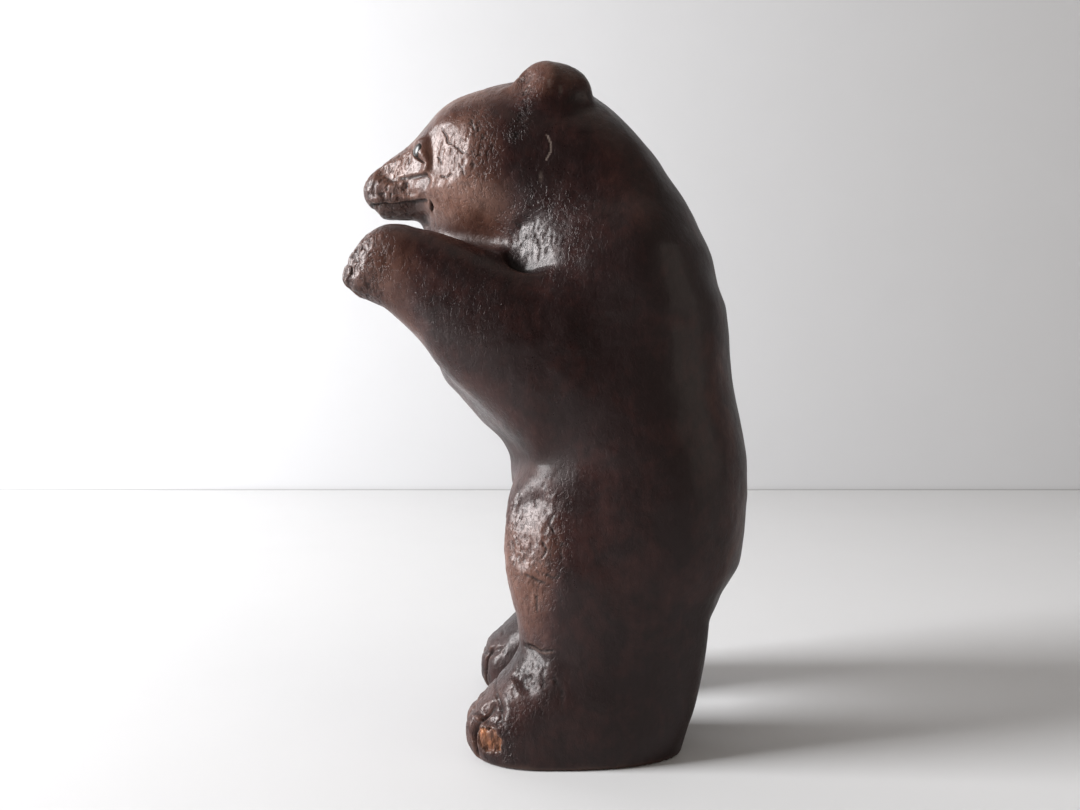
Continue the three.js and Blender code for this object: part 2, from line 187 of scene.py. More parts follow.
def section(a, b, ha, hb, n):
    q = np.sqrt(a * a + b * b)
    f = (np.abs(a / ha) ** n + np.abs(b / hb) ** n) ** (1.0 / n)
    return q - np.where(f > 1e-6, q / np.maximum(f, 1e-6), np.minimum(ha, hb))


def torso(x, y, z):
    yf, yb, yc, hw, n = torso_at(z)
    d = section(x, y - yc, hw, np.where(y < yc, yc - yf, yb - yc), n)
    return smax(smax(d, 42 - z, 8), z - 250, 10)


def head(x, y, z):
    zb, zt, zc, hw, n = head_at(y)
    d = section(x, z - zc, hw, np.where(z < zc, zc - zb, zt - zc), n)
    return smax(smax(d, -77.8 - y, 4), y - 42, 14)


def arm(x, y, z):
    zb, zt, zc, xi, xo, n = arm_at(y)
    d = section(x - (xi + xo) / 2, z - zc, (xo - xi) / 2, np.where(z < zc, zc - zb, zt - zc), n)
    return smax(smax(d, -80.6 - y, 5), y - 14, 16)


def leg(x, y, z):
    yf, yb, yc, xi, xo, n = leg_at(z)
    d = section(x - (xi + xo) / 2, y - yc, (xo - xi) / 2, np.where(y < yc, yc - yf, yb - yc), n)
    return smax(d, z - 106, 10)


def chest(x, y, z):
    yf, hw = bib_at(z)
    d = section(x, y + 18, hw, np.where(y < -18, -18 - yf, 20.0), 2.2)
    return smax(d, np.maximum(138 - z, z - 203), 8)


EAR_AT, EAR_R, EAR_LEAN = (26.0, -1.0, 246.2), (8.5, 15.3, 13.6), np.radians(16)


def ear_local(x, y, z):
    c, s = np.cos(EAR_LEAN), np.sin(EAR_LEAN)
    px, py, pz = x - EAR_AT[0], y - EAR_AT[1], z - EAR_AT[2]
    return (px * c + pz * s) / EAR_R[0], py / EAR_R[1], (pz * c - px * s) / EAR_R[2]


def ear(x, y, z):
    qx, qy, qz = ear_local(x, y, z)
    k0 = np.sqrt(qx**2 + qy**2 + qz**2)
    k1 = np.sqrt((qx / EAR_R[0]) ** 2 + (qy / EAR_R[1]) ** 2 + (qz / EAR_R[2]) ** 2)
    return np.where(k1 > 1e-9, k0 * (k0 - 1) / np.maximum(k1, 1e-9), -8.5)


def bear(x, y, z):
    d = smin(torso(x, y, z), head(x, y, z), 12)
    d = smin(d, smin(arm(x, y, z), arm(-x, y, z), 2), 7)
    d = smin(d, chest(x, y, z), 9)
    d = smin(d, np.minimum(ear(x, y, z), ear(-x, y, z)), 4)
    zr = z - 3.2 * np.exp(-(((z - 19) / 11) ** 2))
    d = smin(d, smin(leg(x, y, z), leg(-x, y - 1, zr), 3), 9)
    # left fuller where the arm leaves the neck
    return d - 1.3 * np.exp(-(((np.abs(x) - 31) / 7.5) ** 2 + ((y + 23) / 8) ** 2 + ((z - 183) / 4) ** 2))


def grounded(x, y, z):
    return smax(bear(x, y, z), -z, 1.6)


def gradient(p, fn=grounded, e=0.04):
    x, y, z = p.T
    f = fn(x, y, z)
    g = np.stack([fn(x + e, y, z) - f, fn(x, y + e, z) - f, fn(x, y, z + e) - f], 1) / e
    return f, g


# ------------------------------------------------------------------ mesh of the form
def steps(*spans):
    """Grid lines from (start, end, spacing) spans that follow each other."""
    out = []
    for a, b, h in spans:
        n = max(1, int(round((b - a) / h)))
        out.append(np.linspace(a, b, n + 1)[:-1])
    return np.concatenate(out + [[spans[-1][1]]])


def nets(fn, xs, ys, zs):
    """Closed quad mesh of fn = 0: a vertex in each crossed cell, a quad over each crossed edge."""
    v = fn(xs[:, None, None], ys[None, :, None], zs[None, None, :])
    inside = v < 0
    nx, ny, nz = v.shape
    count = sum(inside[i:nx - 1 + i, j:ny - 1 + j, k:nz - 1 + k].astype(np.int8)
                for i in (0, 1) for j in (0, 1) for k in (0, 1))
    cells = np.argwhere((count > 0) & (count < 8))
    index = -np.ones((nx - 1, ny - 1, nz - 1), np.int64)
    index[tuple(cells.T)] = np.arange(len(cells))
    total, n = np.zeros((len(cells), 3)), np.zeros(len(cells))
    for ax in range(3):
        other = [t for t in range(3) if t != ax]
        for a in (0, 1):
            for b in (0, 1):
                o = np.zeros(3, int)
                o[other[0]], o[other[1]] = a, b
                o1 = o.copy()
                o1[ax] = 1
                v0, v1 = v[tuple((cells + o).T)], v[tuple((cells + o1).T)]
                m = (v0 < 0) != (v1 < 0)
                q = np.zeros((len(cells), 3)) + o
                q[:, ax] += np.where(m, v0 / np.where(m, v0 - v1, 1), 0)
                total += q * m[:, None]
                n += m
    f = total / n[:, None]
    pos = np.stack([g[cells[:, i]] + f[:, i] * (g[cells[:, i] + 1] - g[cells[:, i]])
                    for i, g in enumerate((xs, ys, zs))], 1)
    quads = []
    for ax in range(3):
        s0, s1 = [slice(1, -1)] * 3, [slice(1, -1)] * 3
        s0[ax], s1[ax] = slice(0, -1), slice(1, None)
        a, b = inside[tuple(s0)], inside[tuple(s1)]
        change = a != b
        off = np.ones(3, int)
        off[ax] = 0
        q = np.argwhere(change) + off
        u, w = np.zeros(3, int), np.zeros(3, int)
        u[(ax + 1) % 3], w[(ax + 2) % 3] = 1, 1
        ids = np.stack([index[tuple(t.T)] for t in (q, q - u, q - u - w, q - w)], 1)
        flip = ~a[change]
        ids[flip] = ids[flip][:, ::-1]
        quads.append(ids)
    return pos, np.concatenate(quads)


def edges_of(tris):
    """Each edge once, and which edge each side of each triangle is."""
    e = np.sort(np.stack([tris, np.roll(tris, -1, axis=1)], 2).reshape(-1, 2), axis=1)
    key = e[:, 0].astype(np.int64) * (tris.max() + 1) + e[:, 1]
    _, first, inv = np.unique(key, return_index=True, return_inverse=True)
    return e[first], inv.reshape(len(tris), 3)


def refine(pos, tris, longest):
    """Splits every edge longer than longest(its middle), keeping the mesh closed."""
    m = len(tris)
    uniq, inv = edges_of(tris)
    mids = (pos[uniq[:, 0]] + pos[uniq[:, 1]]) / 2
    length = np.linalg.norm(pos[uniq[:, 0]] - pos[uniq[:, 1]], axis=1)
    cut = length > longest(mids)
    top = inv[np.arange(m), length[inv].argmax(1)]
    for _ in range(12):
        more = top[cut[inv].any(1)]
        if cut[more].all():
            break
        cut[more] = True
    new = np.full(len(uniq), -1)
    new[cut] = np.arange(cut.sum()) + len(pos)
    # turn each triangle so that its longest edge, which is cut whenever any is, comes first
    turn = length[inv].argmax(1)
    idx = (np.arange(3)[None, :] + turn[:, None]) % 3
    t = np.take_along_axis(tris, idx, 1)
    n = new[np.take_along_axis(inv, idx, 1)]
    a, b, c = t.T
    ab, bc, ca = n.T
    out = [t[ab < 0]]
    k = (ab >= 0) & (bc < 0)
    out.append(np.stack([ab[k], b[k], c[k]], 1))
    k = (ab >= 0) & (bc >= 0)
    out += [np.stack([ab[k], b[k], bc[k]], 1), np.stack([ab[k], bc[k], c[k]], 1)]
    k = (ab >= 0) & (ca < 0)
    out.append(np.stack([a[k], ab[k], c[k]], 1))
    k = (ab >= 0) & (ca >= 0)
    out += [np.stack([a[k], ab[k], ca[k]], 1), np.stack([ca[k], ab[k], c[k]], 1)]
    return np.concatenate([pos, mids[cut]]), np.concatenate(out)


def settle(p, rounds, fn=grounded):
    for _ in range(rounds):
        f, g = gradient(p, fn)
        gg = np.maximum((g * g).sum(1), 0.2)
        move = np.clip(f / gg, -1.5, 1.5)[:, None] * g
        p = p - move
    return p


def unfold(p, tris, rounds=10):
    """Relaxes the points of any triangle that has turned over."""
    e, _ = edges_of(tris)
    n = np.bincount(e.ravel(), minlength=len(p))
    for _ in range(rounds):
        _, g = gradient(p)
        a, b, c = p[tris[:, 0]], p[tris[:, 1]], p[tris[:, 2]]
        f = np.cross(b - a, c - a)
        size = np.linalg.norm(f, axis=1) * np.linalg.norm(g[tris[:, 0]], axis=1)
        turned = (f * g[tris[:, 0]]).sum(1) < 0.25 * size + 1e-5
        if not turned.any():
            break
        at = np.unique(tris[turned])
        mid = np.stack([np.bincount(e[:, 0], p[e[:, 1], k], len(p)) + np.bincount(e[:, 1], p[e[:, 0], k], len(p))
                        for k in range(3)], 1) / n[:, None]
        p = p.copy()
        p[at] = mid[at]
    return p


# ------------------------------------------------------------------ noise
def lattice(c, seed):
    """Random numbers in 0..1, one for each whole-number place."""
    c = (c + 4096).astype(np.uint64)
    h = (c[..., 0] * np.uint64(73856093)) ^ (c[..., 1] * np.uint64(19349663)) ^ (c[..., 2] * np.uint64(83492791))
    h = (h + np.uint64(seed * 7919 + 101)) & np.uint64(0xFFFFFFFF)
    for m in (2246822519, 3266489917):
        h = ((h ^ (h >> np.uint64(15))) * np.uint64(m)) & np.uint64(0xFFFFFFFF)
    h = h ^ (h >> np.uint64(16))
    return h.astype(float) / 4294967296.0


def noise(p, size, seed):
    """Smooth noise, -1..1, with features of about that size (one number, or one for each axis)."""
    q = p / np.array(size, float) + 0.37 * seed
    i = np.floor(q)
    f = q - i
    f = f * f * f * (f * (f * 6 - 15) + 10)
    out = 0
    for a in (0, 1):
        for b in (0, 1):
            for c in (0, 1):
                w = (f[:, 0] if a else 1 - f[:, 0]) * (f[:, 1] if b else 1 - f[:, 1]) * (f[:, 2] if c else 1 - f[:, 2])
                out = out + w * lattice(i + np.array([a, b, c]), seed)
    return out * 2 - 1


def cells(p, size, seed):
    """Distance to the nearest and second nearest of one jittered point per cell."""
    q = p / np.array(size, float)
    i = np.floor(q)
    f1 = np.full(len(p), 9.0)
    f2 = np.full(len(p), 9.0)
    for a in (-1, 0, 1):
        for b in (-1, 0, 1):
            for c in (-1, 0, 1):
                k = i + np.array([a, b, c])
                at = k + np.stack([lattice(k, seed + s) for s in (0, 1, 2)], 1) * 0.85 + 0.075
                d = np.sqrt(((q - at) ** 2).sum(1))
                f2 = np.minimum(f2, np.maximum(f1, d))
                f1 = np.minimum(f1, d)
    return f1, f2


def ramp(a, b, t):
    s = np.clip((t - a) / (b - a), 0, 1)
    return s * s * (3 - 2 * s)


def hump(t):
    t = np.clip(np.abs(t), 0, 1)
    return (1 - t * t) ** 2


def bell(t, at, w):
    return np.exp(-(((t - at) / w) ** 2))


# ------------------------------------------------------------------ the eyes
def out_to_skin(side, y, z, a=5.0, b=40.0):
    """Walks outwards from inside the form to its skin."""
    for _ in range(40):
        m = (a + b) / 2
        if bear(np.array(side * m), np.array(y), np.array(z)) < 0:
            a = m
        else:
            b = m
    return side * a


def eye_place(side):
    """Where the eye lies on the head, found as the CAD finds it."""
    y, z = EYE_AT
    at = np.array([out_to_skin(side, y, z), y, z])
    _, g = gradient(at[None], bear)
    return at, g[0] / np.linalg.norm(g[0])


EYES = {1: eye_place(1), -1: eye_place(-1)}


# ------------------------------------------------------------------ the marks of the gouge
def stroke(y, z, w, *pts):
    """1 on a line drawn through (y, z) points, falling to 0 at w away from it."""
    best = np.full(len(y), 1e9)
    for (ya, za), (yb, zb) in zip(pts, pts[1:]):
        dy, dz = yb - ya, zb - za
        t = np.clip(((y - ya) * dy + (z - za) * dz) / (dy * dy + dz * dz), 0, 1)
        best = np.minimum(best, np.hypot(y - ya - t * dy, z - za - t * dz))
    return hump(best / w)


def oval(y, z, at, size):
    return hump(np.hypot((y - at[0]) / size[0], (z - at[1]) / size[1]))


# flat cuts of the knife: (y, z) of the middle, the way it faces, depth, half size along y and z
FACETS = [
    ((-38.8, 226.0), (0.805, -0.575, 0.075), 1.50, (14.2, 14.5)),
    ((-61.5, 220.8), (0.820, -0.560, 0.100), 0.90, (9.0, 5.8)),
    ((-54.4, 212.4), (0.810, -0.580, 0.030), 0.55, (5.4, 4.2)),
    ((-6.5, 187.5), (0.775, -0.612, 0.125), 0.62, (12.5, 9.5)),
    ((-8.5, 79.0), (0.745, -0.620, 0.230), 1.50, (10.0, 16.5)),
    ((-9.5, 33.0), (0.690, -0.595, 0.420), 0.75, (6.2, 6.8)),
    ((-24.0, 18.5), (0.680, -0.600, 0.420), 0.55, (5.5, 4.5)),
    ((-72.5, 180.0), (0.815, -0.560, 0.130), 0.75, (7.0, 10.0)),
]


def nicked(p):
    """Where the surface is nicked all over, 0 to 1."""
    x, y, z = p.T
    fur = (0.06
           + 0.85 * bell(y, -29, 6) * bell(z, 226, 13) + 0.45 * bell(y, -38, 10) * bell(z, 226, 12)
           + 0.30 * bell(y, -38, 16) * bell(z, 208, 9)
           + 0.66 * bell(y, -9, 14) * bell(z, 189, 9) + 0.22 * bell(y, -8, 18) * bell(z, 201, 9)
           + 0.65 * stroke(y, z, 5.5, (-14, 253), (-11, 241), (-15, 228)) + 0.22 * ramp(238, 248, z)
           + 0.70 * ramp(-54, -60, y) * ramp(200, 204, z)
           + 0.75 * ramp(-58, -68, y) * ramp(200, 196, z) + 0.5 * oval(y, z, (-49, 199), (6, 7))
           + 0.05 * ramp(-10, -30, y) * bell(z, 165, 24)
           + 0.80 * ramp(8, -4, y) * bell(z, 83, 19) * (1 - 0.75 * oval(y, z, (-9, 87), (9, 14))) + 0.25 * ramp(2, -8, y) * bell(z, 58, 14)
           + 0.60 * ramp(2, -6, y) * bell(z, 32, 9) + 0.50 * ramp(-10, -20, y) * ramp(28, 18, z))
    fur = fur * (1 - 0.5 * ramp(0, -5, x) * ramp(50, 40, z))
    return np.clip(fur, 0, 1) * ramp(0.5, 3, z)


def longest_edge(p):
    """How long an edge may be, mm: short where the marks are fine."""
    x, y, z = p.T
    ax = np.abs(x)
    fine = nicked(p) * 1.1
    for at, size in (((-50, 224), (14, 14)), ((-62, 208), (26, 12)), ((-42, 222), (16, 18)),
                     ((-6, 42), (12, 8)), ((-24, 11), (14, 16)), ((-3, 222), (5, 9))):
        fine = np.maximum(fine, 1.15 * oval(y, z, at, size) ** 0.5 * (ax > 8))
    fine = np.maximum(fine, 0.9 * ramp(-68, -74, y))
    fine = np.clip(fine, 0, 1) * np.where(x > 0, 1.0, 0.80)
    return 1.85 - 1.20 * fine ** 0.8


def relief(p, n):
    """How far each point moves along its normal, mm, and the marks that the colours follow."""
    x, y, z = p.T
    ax, side = np.abs(x), np.sign(x)
    left = ramp(-2, 2, x)
    nx = np.abs(n[:, 0])
    d = np.zeros(len(p))
    light_line = np.zeros(len(p))
    dark_and_shade = np.zeros(len(p))

    for (y0, z0), m, deep, (ry, rz) in FACETS:
        m = np.array(m) / np.linalg.norm(m)
        h = (ax - out_to_skin(1, y0, z0, 12.0, 60.0)) * m[0] + (y - y0) * m[1] + (z - z0) * m[2] + deep
        near = ramp(1.35, 0.8, np.hypot((y - y0) / ry, (z - z0) / rz)) * ramp(7, 11, ax)
        if z0 > 222:
            near = near * ramp(-51.5, -48.5, y)
        if 185 < z0 < 190:
            near = near * ramp(-21.5, -11.5, y)
        d -= near * 0.5 * (h + np.sqrt(h * h + 0.3)) / np.maximum(nx * m[0] + n[:, 1] * m[1] + n[:, 2] * m[2], 0.5)

    fur = nicked(p)

    # slow unevenness of a surface cut by hand, then the gouge's scallops
    d += 0.36 * noise(p, 25, 1) + 0.20 * noise(p, 11.5, 2) + (0.05 + 0.09 * fur) * noise(p, 5.2, 6)
    drift = 1.8 * np.stack([noise(p, 9, 3), noise(p, 9, 4), noise(p, 9, 5)], 1)
    f1, f2 = cells(p + drift, (9, 9, 11), 11)
    front = ramp(20, -15, y)
    low = ramp(100, 80, z)
    d += (0.10 + 0.10 * front + 0.16 * front * low) * (np.minimum(f1, 1.1) ** 2 - 0.4)

    # nicks
    nick = ramp(0.30, 0.56, noise(p, (1.6, 1.6, 2.4), 21)) + 0.7 * ramp(0.34, 0.64, noise(p, (1.15, 1.15, 1.6), 22))
    d -= 0.24 * fur * nick
    pits = ramp(0.54, 0.70, noise(p + 0.5 * drift, (2.4, 2.4, 3.6), 24))
    d -= 0.34 * pits * (0.10 + 0.90 * fur)
    dark_and_shade += 0.28 * pits * fur
    d -= 0.12 * ramp(0.10, 0.50, noise(p, (3.4, 3.4, 5.0), 25)) * (0.25 + 0.75 * fur)

    # mouth: the lower jaw set back under the lip, the lip line and the corner pit
    lip = z - 206.9 - 0.55 * noise(p, 3.2, 44) - 0.25 * ramp(-62, -70, y)
    under = ramp(0.7, -0.7, lip) * ramp(-48.8, -55.0, y) * ramp(198, 200.5, z)
    d -= 2.2 * under * ramp(0.2, 0.7, nx)
    d -= 0.9 * under * ramp(-71, -73, y)
    d += 0.6 * hump((lip - 2.0) / 1.9) * ramp(-50.5, -54, y) * ramp(0.2, 0.6, nx)
    line = hump(lip / 1.0) * ramp(-49.0, -51.5, y) * ramp(201, 203, z)
    d -= 0.7 * line
    # the lip line is darkened, and the lower jaw set back under it is painted darker: painted shade under the lip
    dark_and_shade += 0.9 * line + 0.46 * under
    pit = hump(np.hypot((y + 48.3 + 0.12 * (z - 204)) / 1.0, (z - 204.6) / 2.3) + 0.25 * noise(p, 1.6, 45)) * (ax > 8)
    d -= 1.6 * pit
    dark_and_shade += 1.3 * pit
    # the cheeks run down full into the throat
    d += 0.4 * oval(y, z, (-39, 198), (20, 14)) * ramp(8, 14, ax) * ramp(0.1, 0.4, nx)

    # nose: nostrils, the line below them and the edge of the nose pad
    tip = ramp(-71.5, -75, y)
    d -= 1.7 * hump(np.hypot((ax - 3.9) / 1.8, (z - 214.8) / 2.4)) * tip
    d -= 0.9 * hump(x / 1.1) * ramp(212.5, 210.5, z) * tip
    d -= 0.22 * hump((y + 72.4 - 0.22 * (z - 213)) / 1.4) * ramp(207.5, 209, z)
    cuts = ramp(0.0, 0.5, noise(p + 0.3 * drift, (1.5, 1.5, 2.9), 31)) * ramp(-55, -59, y) * ramp(207.3, 208.6, z) * ramp(218, 214, z)
    d -= 0.30 * cuts
    dark_and_shade += 0.28 * cuts
    dark_and_shade += 0.34 * ramp(-0.05, 0.45, noise(p, (3.0, 3.0, 3.6), 33)) * ramp(-57, -62, y) * ramp(206.5, 208.5, z) * ramp(219, 215, z)

    # the fold along the side of the muzzle, and the swelling below it
    fold = stroke(y, z + 0.7 * noise(p, 5, 46), 1.3, (-61.5, 217.0), (-57.4, 216.4), (-50.6, 216.2)) * (ax > 8) * (z > 210)
    fold = fold * ramp(0.2, 0.6, nx)
    d -= 0.55 * fold
    # painted shade: the crease of the fold is painted darker
    dark_and_shade += 0.55 * fold
    d += 0.5 * oval(y, z, (-54.6, 212.6), (5.4, 3.9)) * ramp(0.2, 0.6, nx)

    # eyes: a crescent cut in front of the bead, and the lid that closes over its back
    front_of = -55.6 + np.where(z > 227.0, 0.19, 0.10) * (z - 227.0) ** 2
    on = (ax > 12) * ramp(220.0, 222.4, z) * ramp(232.4, 230.4, z)
    line = hump((y - front_of) / 1.0) * on
    d -= 1.5 * line
    dark_and_shade += 1.6 * line
    lid = y + 54.7 - 0.055 * (z - 226.6) ** 2
    d += 1.75 * ramp(-0.2, 0.9, lid) * ramp(5.0, 0.9, lid) * (ax > 12) * ramp(220.2, 224.6, z) * ramp(233.2, 229.2, z)
    line = hump((lid + 0.25) / 0.55) * (ax > 12) * ramp(221.5, 223.5, z) * ramp(231.5, 229.5, z)
    dark_and_shade += 0.9 * line
    for s, (at, axis) in EYES.items():
        v = p - at
        h = v @ axis
        r = np.linalg.norm(v - h[:, None] * axis, axis=1)
        d -= (side == s) * (np.abs(h) < 6) * (z > 205) * (lid < 0) * 0.9 * hump(r / 2.8)

    # cheek: the cracks in the flat over the cheekbone
    cheek = (ax > 10) * (z > 205)
    for w, deep, pts in (
            (0.65, 0.45, [(-43.6, 233.4), (-42.4, 230), (-41.4, 227.6), (-40.2, 226.8)]),
            (0.60, 0.40, [(-38.9, 225.6), (-37.0, 224.2), (-35.2, 222.2)]),
            (0.60, 0.40, [(-44.4, 214.2), (-42.0, 213.4), (-40.0, 214.6)]),
            (0.55, 0.30, [(-36.5, 218.0), (-34.9, 216.0), (-34.4, 213.4)]),
            (0.55, 0.30, [(-31.8, 235.0), (-30.8, 231.0)]),
            (0.55, 0.25, [(-46.0, 222.4), (-44.6, 219.6)])):
        line = stroke(y + 1.4 * (1 - left) + 0.5 * noise(p, 2.6, 47), z - 1.1 * (1 - left), w, *pts) * cheek
        d -= deep * line
        dark_and_shade += 1.1 * line

    # ears: a hollow that faces forwards and outwards, inside a raised rim
    ex, ey, ez = ear_local(ax, y, z)
    k = np.sqrt(ex**2 + ey**2 + ez**2)
    c = np.array([0.62, -0.72, 0.24])
    c = c / np.linalg.norm(c)
    t = np.sqrt((ex / k - c[0]) ** 2 + (ey / k - c[1]) ** 2 + (ez / k - c[2]) ** 2)
    on = ramp(0.80, 0.93, k) * ramp(1.45, 1.2, k) * ramp(236, 241, z)
    d -= 2.1 * on * hump(t / 0.66)
    d += 0.6 * on * hump((t - 0.80) / 0.26)

    # paws: cuts between the claws, deep at the tip, and the palm's edge
    wob = 0.5 * noise(p, 5, 41)
    tip = ramp(-66.5, -73, y) * ramp(160, 168, z) * ramp(199, 193, z)
    for g in (20.6, 26.9, 33.2):
        d -= 1.5 * hump((ax - g + wob) / 1.35) * tip * ramp(-70, -76, y - 0.12 * (z - 180))
    d -= 0.65 * ramp(0.15, 0.5, noise(p, (2.6, 2.6, 5.0), 42)) * ramp(-66, -74, y) * ramp(198, 190, z) * (z > 165)
    d += 0.4 * tip * noise(p, 3.4, 43)

    # feet: cuts between the toes and a bump on each
    toe = ramp(-14, -23, y) * ramp(22, 14, z)
    for g in (25.0, 35.4, 46.3):
        d -= 1.6 * hump((ax - g + wob + 0.06 * (z - 8)) / 1.4) * toe * ramp(-0.5, 1.5, z)
    for g in (19.5, 30.2, 40.8, 50.5):
        d += 0.8 * hump((ax - g) / 4.6) * ramp(-18, -26, y) * hump((z - 10) / 9)
    d -= 0.8 * stroke(y, z, 1.7, (-33, 14.5), (-27.5, 16.2), (-24, 18.4), (-20.5, 19.4)) * (ax > 20)
    d -= 0.5 * stroke(y, z, 1.3, (-22.5, 24.5), (-20.4, 20.5), (-19.8, 15.5)) * (ax > 25)

    # knees, the hollow of the shin and the cuts across the ankle
    d += 0.8 * oval(y, z, (-8, 84), (13, 17)) * ramp(20, 30, ax)
    d -= 0.7 * oval(y, z, (-5, 62), (9, 8)) * ramp(20, 30, ax)
    d += 0.7 * oval(y, z, (-4, 33), (10, 10)) * ramp(25, 34, ax)
    leg_side = ramp(26, 32, ax) * (z < 110)
    for w, deep, pts in (
            (0.7, 0.50, [(-10.5, 66.8), (-7.0, 65.2), (-4.2, 65.0)]),
            (0.7, 0.45, [(-3.6, 67.6), (-0.6, 66.6), (1.2, 68.4)]),
            (0.6, 0.30, [(-9.0, 94.5), (-8.0, 91.0)]),
            (0.6, 0.40, [(-1.0, 88.5), (-2.4, 85.0), (-1.0, 82.0)]),
            (0.6, 0.40, [(-4.6, 78.8), (-3.4, 76.4), (-4.8, 73.8)]),
            (0.6, 0.40, [(2.4, 79.0), (1.0, 76.4), (2.0, 73.4)]),
            (0.6, 0.35, [(-7.4, 59.5), (-7.0, 54.0)]),
            (0.8, 0.35, [(-1.0, 31.5), (1.8, 27.0), (1.2, 20.5)])):
        line = stroke(y + 0.5 * noise(p, 3.0, 62), z + 0.5 * noise(p, 3.0, 63), w, *pts) * leg_side * np.where(x > 0, 1, ramp(0.0, 0.3, noise(p, 16, 61)))
        d -= deep * line
        dark_and_shade += 0.8 * line
    cut = stroke(y, z, 0.6, (-10.6, 40.2), (-6.0, 39.6), (-1.2, 40.7)) * (x > 30)
    d -= 0.40 * cut
    dark_and_shade += cut
    # a lighter line drawn just under the ankle cut
    light_line += 0.8 * stroke(y, z, 0.55, (-10.2, 39.5), (-6.0, 38.9), (-1.4, 40.0)) * (x > 30)

    # tail: a low upright ridge on the rump
    d += 0.7 * bell(x, 0, 7) * bell(z, 82, 22) * ramp(55, 68, y)

    # a thin curved scratch on the left side of the neck, and two short ones on the ear; a pale colour painted along
    # them stands for the highlight on their edges
    line = stroke(y, z, 0.56, (-3.2, 227.4), (-1.9, 224.6), (-1.7, 221.6), (-3.6, 218.0)) * (x > 20)
    d -= 0.16 * line
    scratch_highlight = 0.55 * ramp(0.25, 0.85, line)
    for pts in ([(-2.0, 249.6), (-2.4, 246.6)], [(2.2, 247.0), (1.6, 244.2)], [(-5.6, 212.8), (-5.9, 210.4)]):
        line = stroke(y, z, 0.8, *pts) * (x > 20)
        d -= 0.35 * line
        scratch_highlight = np.maximum(scratch_highlight, 0.22 * ramp(0.3, 0.9, line))

    # the chip on the left foot
    edge = (np.hypot((y + 23.5) / 4.9, (z - 9.0) / 4.2) + 0.24 * noise(p, 2.6, 51)
            + 0.12 * noise(p, 1.3, 52) + 0.05 * (y + 23.5) / 4.9)
    on = (x > 34)
    chip = ramp(1.0, 0.86, edge) * on
    d -= chip * (1.15 + 0.5 * noise(p, (1.6, 1.6, 2.6), 53))
    raw = ramp(1.0, 0.88, edge) * on
    fresh = raw * np.clip(0.9 * oval(y, z, (-26.6, 11.2), (2.0, 3.0)) + 0.45 * oval(y, z, (-24.0, 8.2), (2.2, 2.8))
                          + 0.40 * stroke(y, z, 1.0, (-20.0, 12.0), (-19.4, 8.6), (-20.4, 6.2)), 0, 1)
    d -= 1.0 * stroke(y, z, 1.3, (-29.0, 13.0), (-29.8, 9.0), (-28.6, 4.0)) * on

    # the stain is worn to a reddish tone in places and stays near black elsewhere; this tone is partly painted light:
    # it is laid on the fronts of the head, ears, arms, legs and feet, the sides that face the window
    brown_wear_and_painted_light = (0.02 + 0.80 * ramp(-10, -40, y) * ramp(194, 206, z) * (1 - 0.35 * ramp(226, 244, z))
             + 0.55 * ramp(238, 250, z) * ramp(24, 4, y)
             + 0.42 * ramp(-30, -62, y) * ramp(200, 190, z) * ramp(130, 150, z)
             + 0.08 * ramp(-10, -36, y) * bell(z, 128, 26)
             + 0.86 * ramp(7, -8, y) * bell(z, 68, 29) + 0.24 * ramp(50, 64, y) * ramp(50, 80, z)
             + 0.30 * ramp(0, -22, y) * ramp(34, 18, z)
             + 0.18 * bell(y, 22, 18) * bell(z, 205, 16)
             + 0.17 * noise(p, 34, 71) + 0.16 * noise(p, 14, 72)
             - 0.30 * ramp(-60, -67, y) * ramp(206, 208, z) * ramp(219, 214, z)
             - 0.30 * ramp(-25, -17, y) * ramp(24, 13, z))
    # painted light lifts the shaded hollow under the cheek; painted shade darkens the set-back jaw, the shoulder and
    # the legs low down; the right foot is made darker too
    brown_wear_and_painted_light = np.clip(brown_wear_and_painted_light + 0.60 * oval(y, z, (-30, 199), (30, 20)) - 0.25 * under
                    - 0.30 * ramp(0, -5, x) * ramp(45, 30, z)
                    - 0.26 * ramp(-16, -2, y) * ramp(70, 30, z)
                    - 0.10 * bell(y, 14, 22) * bell(z, 168, 28), 0, 1)
    # duller behind, under the belly and low on the legs, where it is never rubbed; the band in the fold between belly
    # and thigh is also painted darker: painted shade
    dark_and_shade += 0.42 * bell(z, 108, 8) * ramp(8, -4, y) * ramp(-34, -20, y)
    matte = np.clip(ramp(5, 40, y) + 0.95 * bell(z, 108, 9) * ramp(10, -4, y) + 0.7 * ramp(-14, 0, y) * ramp(70, 40, z), 0, 1)
    return d * ramp(-0.2, 1.6, z), {"matte": matte, "raw": raw, "fresh": fresh, "nicks": fur, "brown_wear_and_painted_light": brown_wear_and_painted_light, "scratch_highlight": scratch_highlight, "light_line": np.clip(light_line, 0, 1),
                                   "dark_and_shade": np.clip(dark_and_shade, 0, 1)}


XS = steps((-61, -27, 1.7), (-27, -10, 1.15), (-10, 10, 1.6), (10, 27, 1.15), (27, 61, 1.7))
YS = steps((-85, -46, 1.25), (-46, -15, 1.5), (-15, 82, 2.1))
ZS = steps((-3, 30, 1.4), (30, 160, 2.1), (160, 200, 1.7), (200, 235, 1.25), (235, 264, 1.6))
base, quads = nets(grounded, XS, YS, ZS)
base = settle(base, 2)
tris = np.concatenate([quads[:, [0, 1, 2]], quads[:, [0, 2, 3]]])
for _ in range(4):
    base, tris = refine(base, tris, longest_edge)
    base = settle(base, 1)
base = unfold(settle(base, 1), tris)
_, g = gradient(base)
normal = g / np.maximum(np.linalg.norm(g, axis=1), 1e-9)[:, None]
move, marks = relief(base, normal)
skin = base + normal * move[:, None]
skin[:, 2] = np.where((base[:, 2] < 0.5) | (skin[:, 2] < 0), np.maximum(skin[:, 2], 0), skin[:, 2])
lowest = np.abs(base[:, 2]) < 0.12
skin[lowest, 2] = 0.0

